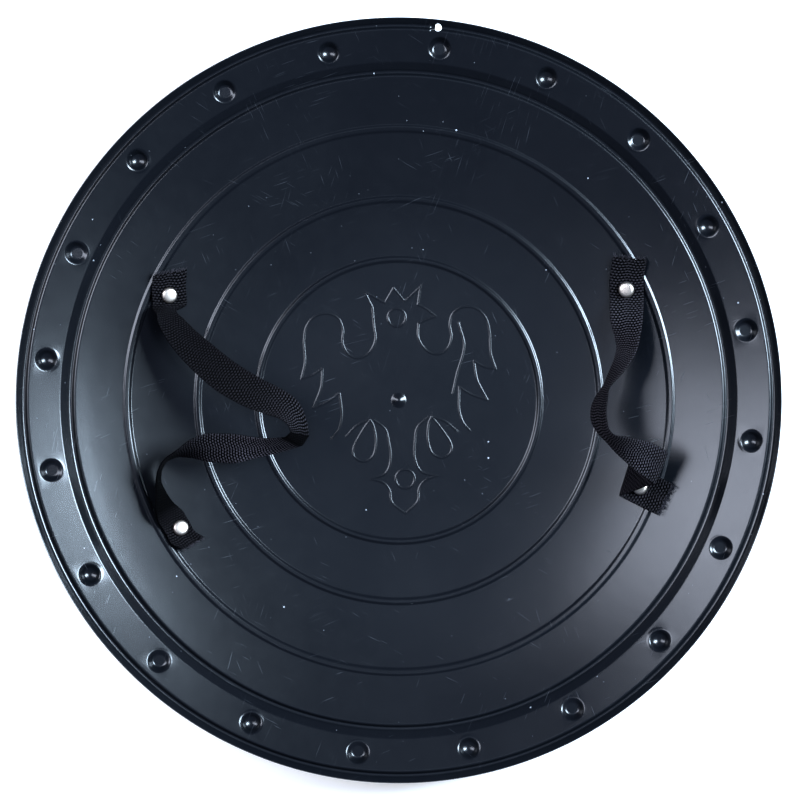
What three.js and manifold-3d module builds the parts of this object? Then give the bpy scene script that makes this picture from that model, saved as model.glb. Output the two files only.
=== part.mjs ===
// Toy round shield formed from one thin sheet of black plastic, with an arm strap and a hand strap of webbing.
// It lies on its front: +Z points to the wearer, +Y to the top of the shield, and +X is on the right of
// someone looking at the back. The origin is under the middle of the dish, on the front face. Millimetres.
import * as THREE from "three";
import { mergeVertices } from "three/addons/utils/BufferGeometryUtils.js";
import Module from "manifold-3d";

const wasm = await Module();
wasm.setup();

// The sheet and its dish: a small flat centre, then an arc that steepens towards the rim.
const SHEET = 1.5;
const RIM_RADIUS = 220;
const FLAT_RADIUS = 45;
const DISH_CURVE = 440;
const AROUND = 48;

// Three rings pressed into the front, which stand up as ridges on the back, and the nub in the middle.
const RINGS = [
  { radius: 82.3, width: 4.5 },
  { radius: 117.1, width: 4.9 },
  { radius: 157.5, width: 5.3 },
];
const RIDGE_HEIGHT = 1;
const NUB_RADIUS = 4.3;
const NUB_HEIGHT = 1.8;

// The step round the dish, the band outside it and the beaded rim.
const STEP_CREST = 187.5;
const STEP_FOOT = 189.5;
const BAND_INNER = 195;
const BAND_OUTER = 213.4;
const RIM_FOOT = 215.4;
const RIM_TOP = RIM_RADIUS - 1;
const STEP_DROP = 1.8;
const STEP_RISE = 5.25;
const BAND_SLOPE = THREE.MathUtils.degToRad(19);
const RIM_DROP = 1.8;
const RIM_RISE = 4.35;

// Bosses on the band, domed and flat-topped in turn, and the hole for hanging the shield on a wall.
const BOSS_CIRCLE = 203.4;
const BOSS_COUNT = 20;
const BOSS_START = -6.6;
const BOSS_WALL = 1.2;
const BOSS_AROUND = 10;
const BOSS_FLARE = 0.6;
const HOLE_RADIUS = 2.3;
const HOLE_CIRCLE = 215.2;
const HOLE_ANGLE = 84;

// Webbing, and the cap rivets that hold it: a cap on each side of a shank.
const WEBBING = { width: 20, thickness: 1.5 };
const GAP = 0.3;
const LIFT = 2.2;
const CLAMPED = 5.5;
const CAP_RADIUS = 4.5;
const CAP_HEIGHT = 2.2;
const CAP_RIM = 0.5;
const SHANK_RADIUS = 1.6;
const CAP_AROUND = 12;
const SHANK_AROUND = 10;
const STEPS_PER_STATION = 2;

// Lengths of the cutters that pass right through the shell, and through the dish and a strap.
const THROUGH_SHELL = 100;
const THROUGH_STRAP = 12;

const black = new THREE.MeshStandardMaterial({ color: 0x1c2129, roughness: 0.35, metalness: 0 });
const webbing = new THREE.MeshStandardMaterial({ color: 0x141417, roughness: 0.95, metalness: 0 });
const nickel = new THREE.MeshStandardMaterial({ color: 0xc9c9c6, roughness: 0.25, metalness: 1 });

const radians = THREE.MathUtils.degToRad;

function solidOf(geometry) {
  const bare = geometry.clone();
  bare.deleteAttribute("normal");
  bare.deleteAttribute("uv");
  const merged = mergeVertices(bare, 1e-4);
  const index = merged.index.array;
  const triangles = [];
  for (let i = 0; i < index.length; i += 3) {
    const [a, b, c] = index.slice(i, i + 3);
    if (a !== b && b !== c && c !== a) triangles.push(a, b, c);
  }
  const vertProperties = merged.attributes.position.array;
  const triVerts = new Uint32Array(triangles);
  return new wasm.Manifold(new wasm.Mesh({ numProp: 3, vertProperties, triVerts }));
}

function meshOf(solid, name, material) {
  const { numVert, numProp, vertProperties, triVerts } = solid.getMesh();
  const corners = new Float32Array(numVert * 3);
  for (let i = 0; i < numVert; i++) {
    corners.set(vertProperties.subarray(i * numProp, i * numProp + 3), i * 3);
  }
  const geometry = new THREE.BufferGeometry();
  geometry.setAttribute("position", new THREE.BufferAttribute(corners, 3));
  geometry.setIndex(new THREE.BufferAttribute(triVerts, 1));
  geometry.computeVertexNormals();
  const mesh = new THREE.Mesh(geometry, material);
  mesh.name = name;
  return mesh;
}

// A turned solid about +Z from [radius, height] pairs that run from the bottom of the axis to its top.
function turned(profile, segments) {
  const points = profile.map(([radius, height]) => new THREE.Vector2(radius, height));
  return new THREE.LatheGeometry(points, segments).rotateX(Math.PI / 2);
}

// Height of the dish, without its rings, above the flat centre.
function dishHeight(radius) {
  const out = Math.max(0, radius - FLAT_RADIUS);
  return DISH_CURVE - Math.sqrt(DISH_CURVE ** 2 - out ** 2);
}

// Unit normal of the back of the dish at a place, pointing to the wearer.
function dishNormal(x, y) {
  const radius = Math.hypot(x, y);
  const lean = Math.max(0, radius - FLAT_RADIUS) / DISH_CURVE;
  return new THREE.Vector3((-lean * x) / radius, (-lean * y) / radius, Math.sqrt(1 - lean ** 2));
}

// Height of the back of the band, which climbs in a straight line from the top of the step.
function bandHeight(radius) {
  const top = SHEET + dishHeight(STEP_CREST) - STEP_DROP + STEP_RISE;
  return top + (radius - BAND_INNER) * Math.tan(BAND_SLOPE);
}

// The line of the back from the nub to the rim, as [radius, height].
function backProfile() {
  const points = [];
  const onDish = (radius, relief = 0) => points.push([radius, SHEET + dishHeight(radius) + relief]);
  onDish(0, NUB_HEIGHT);
  onDish(NUB_RADIUS * 0.55, NUB_HEIGHT * 0.7);
  onDish(NUB_RADIUS);
  onDish(FLAT_RADIUS);
  for (const { radius, width } of RINGS) {
    onDish(radius - width / 2);
    onDish(radius, RIDGE_HEIGHT);
    onDish(radius + width / 2);
  }
  onDish(STEP_CREST);
  points.push([STEP_FOOT, bandHeight(BAND_INNER) - STEP_RISE]);
  points.push([BAND_INNER, bandHeight(BAND_INNER)]);
  points.push([BAND_OUTER, bandHeight(BAND_OUTER)]);
  points.push([RIM_FOOT, bandHeight(BAND_OUTER) - RIM_DROP]);
  points.push([RIM_TOP, bandHeight(BAND_OUTER) - RIM_DROP + RIM_RISE]);
  return points;
}

// The same line moved by the sheet's thickness to the front side, square to each stretch.
function frontProfile(back) {
  const normals = back.slice(1).map(([radius, height], i) => {
    const along = new THREE.Vector2(radius - back[i][0], height - back[i][1]).normalize();
    return new THREE.Vector2(along.y, -along.x);
  });
  return back.map(([radius, height], i) => {
    const before = i === 0 ? new THREE.Vector2(0, -1) : normals[i - 1];
    const after = i === 0 ? before : (normals[i] ?? normals[i - 1]);
    const middle = before.clone().add(after).normalize();
    const reach = SHEET / middle.dot(after);
    return [radius + middle.x * reach, height + middle.y * reach];
  });
}

// The frame of a boss: its origin on the back of the band, and its own +Z square to the band.
function bossFrame(angle) {
  const frame = new THREE.Matrix4().makeRotationZ(radians(angle));
  frame.multiply(new THREE.Matrix4().makeTranslation(BOSS_CIRCLE, 0, bandHeight(BOSS_CIRCLE)));
  return frame.multiply(new THREE.Matrix4().makeRotationY(-BAND_SLOPE));
}

// Dimple on the back as [radius, depth]; the front swells by the same shape, a wall further out.
const DOME = [[0, 3.8], [3.2, 3], [5.3, 1.1], [7.2, 0]];
const BUTTON = [[0, 2.7], [3.3, 2.7], [5.4, 0.9], [7, 0]];

function bossDimple(shape) {
  const profile = shape.map(([radius, depth]) => [radius, -depth]);
  return turned([...profile, [shape.at(-1)[0], 1], [0, 1]], BOSS_AROUND);
}

function bossSwelling(shape) {
  const profile = shape.map(([radius, depth]) => {
    return [radius === 0 ? 0 : radius + BOSS_FLARE, -depth - BOSS_WALL];
  });
  const middleOfSheet = -SHEET / 2;
  return turned([...profile, [profile.at(-1)[0], middleOfSheet], [0, middleOfSheet]], BOSS_AROUND);
}

function cylinder(radius, length, segments, frame) {
  const upright = new THREE.CylinderGeometry(radius, radius, length, segments).rotateX(Math.PI / 2);
  return upright.applyMatrix4(frame);
}

// The hole that a rivet's shank passes through, with play round it.
function shankHole(frame) {
  return solidOf(cylinder(SHANK_RADIUS + GAP, THROUGH_STRAP, SHANK_AROUND, frame));
}

function buildShell(rivets) {
  const back = backProfile();
  let shell = solidOf(turned([...frontProfile(back), ...back.reverse()], AROUND));
  for (let i = 0; i < BOSS_COUNT; i++) {
    const frame = bossFrame(BOSS_START + (i * 360) / BOSS_COUNT);
    const shape = i % 2 === 0 ? DOME : BUTTON;
    shell = shell.add(solidOf(bossSwelling(shape).applyMatrix4(frame)));
    shell = shell.subtract(solidOf(bossDimple(shape).applyMatrix4(frame)));
  }
  const hole = new THREE.Matrix4().makeRotationZ(radians(HOLE_ANGLE));
  hole.multiply(new THREE.Matrix4().makeTranslation(HOLE_CIRCLE, 0, 0));
  shell = shell.subtract(solidOf(cylinder(HOLE_RADIUS, THROUGH_SHELL, CAP_AROUND, hole)));
  for (const frame of rivets) shell = shell.subtract(shankHole(frame));
  return meshOf(shell, "shell", black);
}

// A station of a strap: where its middle is, which way its first edge points in plan, and how far that
// edge dips below level. A seated station lies on the dish, lifted clear of it.
function station(x, y, z, heading, dip, width = WEBBING.width) {
  const flat = Math.cos(radians(dip));
  const across = new THREE.Vector3(flat * Math.cos(radians(heading)), flat * Math.sin(radians(heading)));
  across.z = -Math.sin(radians(dip));
  return { at: new THREE.Vector3(x, y, z), across, width };
}

function seated(x, y, heading, lift, roll = 0, width = WEBBING.width) {
  const normal = dishNormal(x, y);
  const across = new THREE.Vector3(Math.cos(radians(heading)), Math.sin(radians(heading)), 0);
  across.projectOnPlane(normal).normalize();
  across.applyAxisAngle(across.clone().cross(normal).normalize(), radians(roll));
  const at = new THREE.Vector3(x, y, SHEET + dishHeight(Math.hypot(x, y))).addScaledVector(normal, lift);
  return { at, across, width };
}

// Where a rivet holds a strap, the strap stays straight from one side of the cap to the other.
function underCap([x, y, heading], roll, aside = 0, width = WEBBING.width) {
  const [c, s] = [Math.cos(radians(heading)), Math.sin(radians(heading))];
  return [-CLAMPED, 0, CLAMPED].map((t) => {
    return seated(x + t * s + aside * c, y - t * c + aside * s, heading, LIFT, roll, width);
  });
}

// The arm strap springs up from its top rivet, leans over to the middle of the shield, doubles back at the
// tip of the loop and comes down on edge to its bottom rivet.
const ARM_RIVETS = [[-133.6, 61.2, 2], [-127, -74.3, 30]];
const ARM_STATIONS = [
  seated(-133.3, 74.2, 8, 3.6, -3),
  ...underCap(ARM_RIVETS[0], -3),
  station(-134.2, 50.2, 22, 15, 58),
  station(-130.8, 44.6, 27, 18, 46),
  station(-124.2, 36.1, 33, 34, 38),
  station(-113.1, 25.3, 41, 48, 26),
  station(-98.9, 13.8, 50, 52, 19),
  station(-83.6, 4.8, 57, 57, 24),
  station(-71.1, -0.7, 62.5, 58, 34),
  station(-62, -5.6, 66.5, 44, 47),
  station(-57.3, -12.6, 68.5, 18, 60),
  station(-56.1, -18, 66.8, -8, 60),
  station(-55.9, -19, 66.4, -12, 60),
  station(-56.5, -19.8, 65.4, -14, 60),
  station(-59, -22.8, 61.3, -22, 58),
  station(-59.7, -23.3, 60.4, -24, 57),
  station(-61, -23.6, 59.9, -27, 57),
  station(-71, -25.6, 55.5, -48, 58),
  station(-83.1, -26.7, 51.5, -73, 50),
  station(-96.4, -27.5, 48, -83, 32),
  station(-109.2, -27.1, 45, -85, 36),
  station(-119.1, -28, 42, -88, 59),
  station(-127.5, -30.9, 39, -92, 80),
  station(-133.9, -34.6, 36, -60, 87),
  station(-137.3, -40.1, 32.5, -20, 88),
  station(-138.4, -47, 28.5, 5, 86),
  station(-137, -54.5, 24.5, 12, 76),
  station(-135.6, -61.8, 22.5, 26, 56, 18),
  ...underCap(ARM_RIVETS[1], -3, -1.7, 15.5),
  seated(-120, -83.3, 30, 2.6, -3, 14.5),
];

// The hand strap stands on edge over the hand, then folds back twice on its way to the bottom rivet.
const HAND_RIVETS = [[132.6, 64.4, 1], [140.4, -50.5, 63]];
const HAND_STATIONS = [
  seated(134.6, 82.5, -3, 3.8, 3),
  ...underCap(HAND_RIVETS[0], 3),
  station(131.8, 49.5, 20.4, 5, -20),
  station(132, 37.1, 26.5, 4, -46),
  station(131, 29.2, 32.5, -12, -58),
  station(127.4, 21.8, 40.5, -34, -66),
  station(122.3, 14, 47, -40, -75),
  station(118.1, 7.7, 52.5, -26, -82),
  station(115, 1, 57, -5, -72),
  station(113.3, -5, 60.5, 0, -67),
  station(113.4, -11.5, 62.5, 5, -67),
  station(115.9, -17.7, 63.5, 20, -73),
  station(119.6, -21.5, 63.5, 42, -74),
  station(125.2, -24.7, 61.5, 58, -60),
  station(132.1, -28.5, 58, 64, -44),
  station(139.7, -32.5, 53, 68, -24),
  station(146.9, -36.9, 48, 68, -14),
  station(150, -39, 44, 68, -12),
  station(148.1, -39.2, 40, 68, -10),
  station(140.8, -42, 31, 70, -4),
  station(134.2, -44.5, 22.5, 72, 2),
  station(130.9, -45.6, 18, 72, 6),
  ...underCap(HAND_RIVETS[1], 0),
  seated(150.4, -55.4, 63, 3.6),
  seated(155, -57.6, 63, 4.6),
];

// A ribbon through its stations, with a square section and square ends.
function ribbon(stations) {
  const middle = new THREE.CatmullRomCurve3(stations.map((s) => s.at), false, "centripetal");
  const lean = new THREE.CatmullRomCurve3(stations.map((s) => s.across));
  const count = (stations.length - 1) * STEPS_PER_STATION;
  const corners = [];
  for (let i = 0; i <= count; i++) {
    const at = middle.getPoint(i / count);
    const across = lean.getPoint(i / count).normalize();
    const face = middle.getTangent(i / count).cross(across).normalize();
    const from = Math.min(Math.floor(i / STEPS_PER_STATION), stations.length - 2);
    const part = i / STEPS_PER_STATION - from;
    const width = THREE.MathUtils.lerp(stations[from].width, stations[from + 1].width, part);
    for (const [side, level] of [[1, 1], [-1, 1], [-1, -1], [1, -1]]) {
      const corner = at.clone().addScaledVector(across, (side * width) / 2);
      corners.push(corner.addScaledVector(face, (level * WEBBING.thickness) / 2));
    }
  }
  const index = [0, 2, 1, 0, 3, 2];
  for (let i = 0; i < count; i++) {
    for (let k = 0; k < 4; k++) {
      const [a, b] = [4 * i + k, 4 * i + ((k + 1) % 4)];
      index.push(a, b, b + 4, a, b + 4, a + 4);
    }
  }
  const last = 4 * count;
  index.push(last, last + 1, last + 2, last, last + 2, last + 3);
  const geometry = new THREE.BufferGeometry().setFromPoints(corners);
  return geometry.setIndex(index);
}

// The frame of a rivet: its origin on the back of the dish, and its own +Z along the rivet.
function rivetFrame([x, y]) {
  const turn = new THREE.Quaternion().setFromUnitVectors(new THREE.Vector3(0, 0, 1), dishNormal(x, y));
  const at = new THREE.Vector3(x, y, SHEET + dishHeight(Math.hypot(x, y)));
  return new THREE.Matrix4().compose(at, turn, new THREE.Vector3(1, 1, 1));
}

function buildStrap(name, stations, rivets) {
  let strap = solidOf(ribbon(stations));
  for (const frame of rivets) strap = strap.subtract(shankHole(frame));
  return meshOf(strap, name, webbing);
}

function buildRivet(name, frame) {
  const strapTop = LIFT + WEBBING.thickness / 2 + GAP;
  const front = -SHEET - GAP;
  const profile = [
    [0, front - CAP_HEIGHT],
    [CAP_RADIUS * 0.6, front - CAP_HEIGHT * 0.8],
    [CAP_RADIUS, front - CAP_RIM],
    [CAP_RADIUS, front],
    [SHANK_RADIUS, front],
    [SHANK_RADIUS, strapTop],
    [CAP_RADIUS, strapTop],
    [CAP_RADIUS, strapTop + CAP_RIM],
    [CAP_RADIUS * 0.6, strapTop + CAP_HEIGHT * 0.8],
    [0, strapTop + CAP_HEIGHT],
  ];
  const mesh = new THREE.Mesh(turned(profile, CAP_AROUND), nickel);
  mesh.name = name;
  mesh.applyMatrix4(frame);
  return mesh;
}

const armFrames = ARM_RIVETS.map(rivetFrame);
const handFrames = HAND_RIVETS.map(rivetFrame);

const shield = new THREE.Group();
shield.add(buildShell([...armFrames, ...handFrames]));
shield.add(buildStrap("arm_strap", ARM_STATIONS, armFrames));
shield.add(buildStrap("hand_strap", HAND_STATIONS, handFrames));
shield.add(buildRivet("arm_rivet_top", armFrames[0]));
shield.add(buildRivet("arm_rivet_bottom", armFrames[1]));
shield.add(buildRivet("hand_rivet_top", handFrames[0]));
shield.add(buildRivet("hand_rivet_bottom", handFrames[1]));

export default shield;
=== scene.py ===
# Toy round shield of thin black formed plastic, lying on its front: dish, rings, bosses and a pressed
# eagle, with an arm strap and a hand strap of webbing held by nickel cap rivets. Shapes are worked out
# in millimetres and become metres when a piece is made. +Y is the top of the shield, +Z the wearer.
import math

import bpy
import numpy as np
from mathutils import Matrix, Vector
from mathutils.geometry import delaunay_2d_cdt


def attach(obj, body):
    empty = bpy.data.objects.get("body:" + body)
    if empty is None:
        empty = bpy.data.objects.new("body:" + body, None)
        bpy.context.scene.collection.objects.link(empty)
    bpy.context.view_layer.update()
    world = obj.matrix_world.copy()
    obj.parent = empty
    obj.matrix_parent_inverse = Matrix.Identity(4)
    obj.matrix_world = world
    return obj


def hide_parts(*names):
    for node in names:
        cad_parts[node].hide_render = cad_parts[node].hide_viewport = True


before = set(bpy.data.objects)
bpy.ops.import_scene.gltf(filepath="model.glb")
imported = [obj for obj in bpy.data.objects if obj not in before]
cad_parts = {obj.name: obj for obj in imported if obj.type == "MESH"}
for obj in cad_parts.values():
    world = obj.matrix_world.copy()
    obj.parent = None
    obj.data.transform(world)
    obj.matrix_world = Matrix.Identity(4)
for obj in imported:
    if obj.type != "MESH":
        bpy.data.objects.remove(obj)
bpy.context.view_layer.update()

MM = 0.001
RANDOM = np.random.default_rng(7)

# The sheet and its dish.
SHEET = 1.5
FLAT_RADIUS = 45.0
DISH_CURVE = 440.0
DISH_END = 182.0

# Rings as (radius, width), and the nub in the middle.
RINGS = [(82.3, 4.5), (117.1, 4.9), (157.5, 5.3)]
RIDGE_HEIGHT = 0.95
RIDGE_FLANK = 1.8
NUB_RADIUS = 4.4
NUB_HEIGHT = 1.7

# The step round the dish, the band and the rim. The feet of the step and of the rim are narrow flats.
STEP_CREST = 187.5
STEP_FOOT = (188.8, 190.2)
BAND_INNER = 195.0
BAND_OUTER = 213.4
RIM_FOOT = (214.8, 216.0)
RIM_TOP = 219.5
STEP_DROP = 1.8
STEP_RISE = 5.25
BAND_SLOPE = math.radians(19)
RIM_DROP = 1.8
RIM_RISE = 4.35
FOOT_CLIMB = 0.2

# How far from a corner its rounding starts, the sheet's thickness at the trimmed edge, and how far that
# edge dips.
CREST_ROUND = 1.1
CORNER_ROUND = 0.4
FOOT_ROUND = 0.6
BAND_ROUND = 1.0
EDGE_SHEET = 0.6
TRIM_DIP = 0.5

# Bosses, and the hanging hole.
BOSS_CIRCLE = 203.4
BOSS_COUNT = 20
BOSS_START = -6.6
BOSS_REACH = 7.4
BOSS_LEVEL = 3.6
DOME_BOWL = 6.1
DOME_LIP = 2.6
DOME_DEPTH = 3.7
BUTTON_RADIUS = 7.1
BUTTON_FLOOR = 3.2
BUTTON_DEPTH = 2.7
HOLE_RADIUS = 2.15
HOLE_CIRCLE = 215.2
HOLE_ANGLE = 84.0

# The net of the shell: how many columns it has round the middle, its single rows, and its runs of rows
# as (first, last, count) where the line bends. A boss or the hole takes the place of a patch of the net.
COLUMNS = 360
BOSS_PATCH = (195.5, 211.3)
HOLE_PATCH = (212.2, 218.2)
SINGLE_ROWS = [92, 100, 107.5, 128, 137, 146, 168, 176, DISH_END, 193, 193.8, 217.7, HOLE_PATCH[1], 218.9]
STEP_RUN = (185.2, 192, 16)
BAND_START_RUN = (194.2, 195.3, 4)
BOSS_RUN = (*BOSS_PATCH, 12)
HOLE_RUN = (HOLE_PATCH[0], 216.9, 11)
BOSS_COLUMNS = (-3, 3)
HOLE_COLUMNS = (-2, 1)
BOSS_RINGS = [7.35, 7.1, 6.7, 6.2, 5.6, 4.9, 4.2, 3.6, 2.8, 1.9, 1.0]
HOLE_RINGS = [0.3, 0.6, 0.85, 1]

# The eagle's pressed line.
EAGLE_DISC = 78.0
STROKE_STEP = 0.9
LINE_HALF_WIDTH = 0.95
LINE_HEIGHT = 0.2
EAGLE_LEAN = math.radians(2.8)
EAGLE_CENTRE = (0.7, -0.2)

# Webbing and rivets.
WEBBING_WIDTH = 20.0
WEBBING_THICKNESS = 1.3
RIB_PITCH = 1.63
YARN_PITCH = 1.05
RIB_HEIGHT = 0.34
LIFT = 2.2
CLAMPED = 5.5
CAP_RADIUS = 4.5
CAP_HEIGHT = 2.2
SHANK_RADIUS = 1.6
GAP = 0.3


# ---------------------------------------------------------------- making pieces


def make_piece(name, points, faces, material, node=None, corner_normals=None):
    """A mesh piece from millimetre points, riding on the shield and standing for its CAD node."""
    mesh = bpy.data.meshes.new(name)
    mesh.from_pydata((np.asarray(points) * MM).tolist(), [], faces)
    mesh.polygons.foreach_set("use_smooth", [True] * len(mesh.polygons))
    mesh.materials.append(material)
    if corner_normals is not None:
        mesh.normals_split_custom_set(corner_normals)
    piece = bpy.data.objects.new(name, mesh)
    bpy.context.scene.collection.objects.link(piece)
    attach(piece, "root")
    if node:
        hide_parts(node)
    return piece


def unit(vectors):
    vectors = np.asarray(vectors, float)
    return vectors / np.linalg.norm(vectors, axis=-1, keepdims=True)


def smooth_through(points, weights):
    """Centripetal Catmull-Rom curve through points, at weights that count spans from the first point."""
    points = np.asarray(points, float)
    padded = np.vstack([2 * points[0] - points[1], points, 2 * points[-1] - points[-2]])
    span = np.minimum(weights.astype(int), len(points) - 2)
    t = (weights - span)[:, None]
    p0, p1, p2, p3 = (padded[span + k] for k in range(4))

    def knot(a, b):
        return np.maximum(np.linalg.norm(b - a, axis=1, keepdims=True) ** 0.5, 1e-4)

    d0, d1, d2 = knot(p0, p1), knot(p1, p2), knot(p2, p3)
    leave = ((p1 - p0) / d0 - (p2 - p0) / (d0 + d1) + (p2 - p1) / d1) * d1
    arrive = ((p2 - p1) / d1 - (p3 - p1) / (d1 + d2) + (p3 - p2) / d2) * d1
    cubic = 2 * p1 - 2 * p2 + leave + arrive
    square = -3 * p1 + 3 * p2 - 2 * leave - arrive
    return p1 + leave * t + square * t**2 + cubic * t**3


# ---------------------------------------------------------------- the shell


def dish_height(radius):
    """Height of the back of the dish, without its rings."""
    out = np.maximum(0, radius - FLAT_RADIUS)
    return SHEET + DISH_CURVE - np.sqrt(DISH_CURVE**2 - out**2)


def dish_normal(x, y):
    """Unit normal of the back of the dish at a place, pointing to the wearer."""
    radius = math.hypot(x, y)
    lean = max(0, radius - FLAT_RADIUS) / DISH_CURVE
    return np.array([-lean * x / radius, -lean * y / radius, math.sqrt(1 - lean**2)])


def rounded_line(corners):
    """A line through [radius, height, rounding] corners, each rounded by a short curve."""
    line = [corners[0][:2]]
    for before, here, after in zip(corners, corners[1:], corners[2:]):
        middle = np.array(here[:2])
        start = middle + unit(np.array(before[:2]) - middle) * here[2]
        end = middle + unit(np.array(after[:2]) - middle) * here[2]
        for t in np.linspace(0, 1, 16):
            line.append(((1 - t) ** 2 * start + 2 * t * (1 - t) * middle + t**2 * end).tolist())
    line.append(corners[-1][:2])
    return line


def shell_line():
    """The back of the shell from the middle to the rim, without rings, as radii and heights."""
    crest = float(dish_height(STEP_CREST))
    inner = crest - STEP_DROP + STEP_RISE
    outer = inner + (BAND_OUTER - BAND_INNER) * math.tan(BAND_SLOPE)
    dish = [(r, float(dish_height(r))) for r in np.arange(0, DISH_END, 0.5)]
    outside = rounded_line(
        [
            (DISH_END, float(dish_height(DISH_END)), 0),
            (STEP_CREST, crest, CREST_ROUND),
            (STEP_FOOT[0], crest - STEP_DROP, CORNER_ROUND),
            (STEP_FOOT[1], crest - STEP_DROP + FOOT_CLIMB, FOOT_ROUND),
            (BAND_INNER, inner, CORNER_ROUND),
            (BAND_OUTER, outer, BAND_ROUND),
            (RIM_FOOT[0], outer - RIM_DROP, CORNER_ROUND),
            (RIM_FOOT[1], outer - RIM_DROP + FOOT_CLIMB, FOOT_ROUND),
            (RIM_TOP, outer - RIM_DROP + RIM_RISE, 0),
        ]
    )
    return np.array(dish + outside).T


LINE_RADII, LINE_HEIGHTS = shell_line()


def bump(distance, reach):
    """1 in the middle, falling smoothly to 0 at reach."""
    return np.maximum(0, 1 - (distance / reach) ** 2) ** 1.5


def with_bosses(x, y, height):
    """The band with its bosses, whose middles are level: round bowls and flat buttons by turns."""
    pitch = 2 * math.pi / BOSS_COUNT
    start = math.radians(BOSS_START)
    number = np.round((np.arctan2(y, x) - start) / pitch)
    angle = start + number * pitch
    distance = np.hypot(x - BOSS_CIRCLE * np.cos(angle), y - BOSS_CIRCLE * np.sin(angle))
    turn = math.acos(1 - DOME_DEPTH / (DOME_BOWL + DOME_LIP))
    edge, reach = DOME_BOWL * math.sin(turn), (DOME_BOWL + DOME_LIP) * math.sin(turn)
    bowl = DOME_DEPTH - DOME_BOWL + np.sqrt(DOME_BOWL**2 - np.minimum(distance, edge) ** 2)
    lip = DOME_LIP - np.sqrt(DOME_LIP**2 - np.clip(reach - distance, 0, reach - edge) ** 2)
    dome = np.where(distance < edge, bowl, lip)
    wall = np.clip((distance - BUTTON_FLOOR) / (BUTTON_RADIUS - BUTTON_FLOOR), 0, 1)
    button = BUTTON_DEPTH * (0.5 + 0.5 * np.cos(math.pi * wall))
    level = np.interp(BOSS_CIRCLE, LINE_RADII, LINE_HEIGHTS)
    near = np.clip((BOSS_REACH - distance) / (BOSS_REACH - BOSS_LEVEL), 0, 1)
    near = near**2 * (3 - 2 * near)
    return height + near * (level - height) - np.where(number % 2 == 0, dome, button)


# One half of the eagle, mirrored for the other: strokes of [x, y] from its middle line. The strokes that
# have no mirror image follow, and the two rings as a middle and a radius.
EAGLE_HALF = {
    "wing": [
        (13, 44.5), (12.6, 36), (17, 28.5), (23.5, 26), (29, 28.8), (31.8, 35.5), (31.2, 43),
        (33.5, 49.5), (39.5, 52.8), (47, 51.6), (52.3, 46), (54.3, 37), (54.3, 25), (56.8, 15.8),
    ],
    "upper feather": [(56.8, 15.8), (50, 17.5), (44.3, 21)],
    "upper feather's edge": [(44.3, 21), (45.6, 10), (51, -2)],
    "lower feather": [(51, -2), (42, 1.5), (35, 6.2)],
    "lower feather's edge": [(35, 6.2), (34.4, -8), (36.5, -15), (39.6, -19)],
    "thigh": [(19, -10.5), (26, -13.5), (32, -19)],
    "leg": [
        (18, -10.3), (23, -17), (28.6, -27), (28.2, -31.5), (23, -34.5),
        (17.5, -31.8), (15.2, -24), (16.2, -14), (18, -10.3),
    ],
    "body": [(15.5, -10.8), (9.5, -16), (7.6, -24), (7.2, -35), (10.5, -42), (19, -44.8)],
    "tail": [(19, -44.8), (12, -47.5), (8.6, -52), (7.6, -59), (0, -66)],
}
EAGLE_REST = {
    "neck": [(-13.4, 55), (-13.2, 50), (-13, 44.5)],
    "quill": [(36.5, 43), (39, 30), (34, 14), (31, 3)],
    "beak top": [(13.2, 55.5), (17.5, 53), (23.3, 48.2)],
    "beak bottom": [(23.3, 48.2), (17, 46.2), (13, 44.5)],
    "crown 1": [(-13.4, 55), (-17.6, 64.5)],
    "crown 2": [(-17.6, 64.5), (-6, 57.3)],
    "crown 3": [(-6, 57.3), (-0.5, 65.8)],
    "crown 4": [(-0.5, 65.8), (5.6, 57.6)],
    "crown 5": [(5.6, 57.6), (15.2, 65.8)],
    "crown 6": [(15.2, 65.8), (13.2, 55.5)],
}
EAGLE_RINGS = [((0.5, 48.5), 5.2), ((0.8, -45.8), 5.5)]


def eagle_strokes():
    """Every stroke of the eagle as an even run of points in place on the shield."""
    strokes = [smooth_stroke(points) for points in EAGLE_REST.values()]
    for points in EAGLE_HALF.values():
        stroke = smooth_stroke(points)
        strokes += [stroke, stroke * [-1, 1]]
    for (x, y), radius in EAGLE_RINGS:
        turn = np.linspace(0, 2 * math.pi, 1 + round(2 * math.pi * radius / STROKE_STEP))
        strokes.append(np.column_stack([x + radius * np.cos(turn), y + radius * np.sin(turn)]))
    c, s = math.cos(EAGLE_LEAN), math.sin(EAGLE_LEAN)
    return [stroke @ np.array([[c, s], [-s, c]]) + EAGLE_CENTRE for stroke in strokes]


def smooth_stroke(points):
    fine = smooth_through(points, np.linspace(0, len(points) - 1, 40 * len(points)))
    along = np.concatenate([[0], np.cumsum(np.linalg.norm(np.diff(fine, axis=0), axis=1))])
    even = np.linspace(0, along[-1], 1 + max(2, round(along[-1] / STROKE_STEP)))
    return np.column_stack([np.interp(even, along, fine[:, k]) for k in range(2)])


STROKES = eagle_strokes()
STROKE_STARTS = np.vstack([stroke[:-1] for stroke in STROKES])
STROKE_ENDS = np.vstack([stroke[1:] for stroke in STROKES])


def stroke_distance(points):
    """How far each [x, y] point is from the nearest stroke."""
    run = STROKE_ENDS - STROKE_STARTS
    length = (run**2).sum(axis=1)
    nearest = []
    for some in np.array_split(points, 1 + len(points) // 1500):
        reach = some[:, None] - STROKE_STARTS
        t = np.clip((reach * run).sum(axis=2) / length, 0, 1)
        nearest.append(np.linalg.norm(reach - t[..., None] * run, axis=2).min(axis=1))
    return np.concatenate(nearest)


def plain_height(x, y):
    """Height of the back of the shell over any place on it, with its bosses but without fine relief."""
    return with_bosses(x, y, np.interp(np.hypot(x, y), LINE_RADII, LINE_HEIGHTS))


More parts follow.
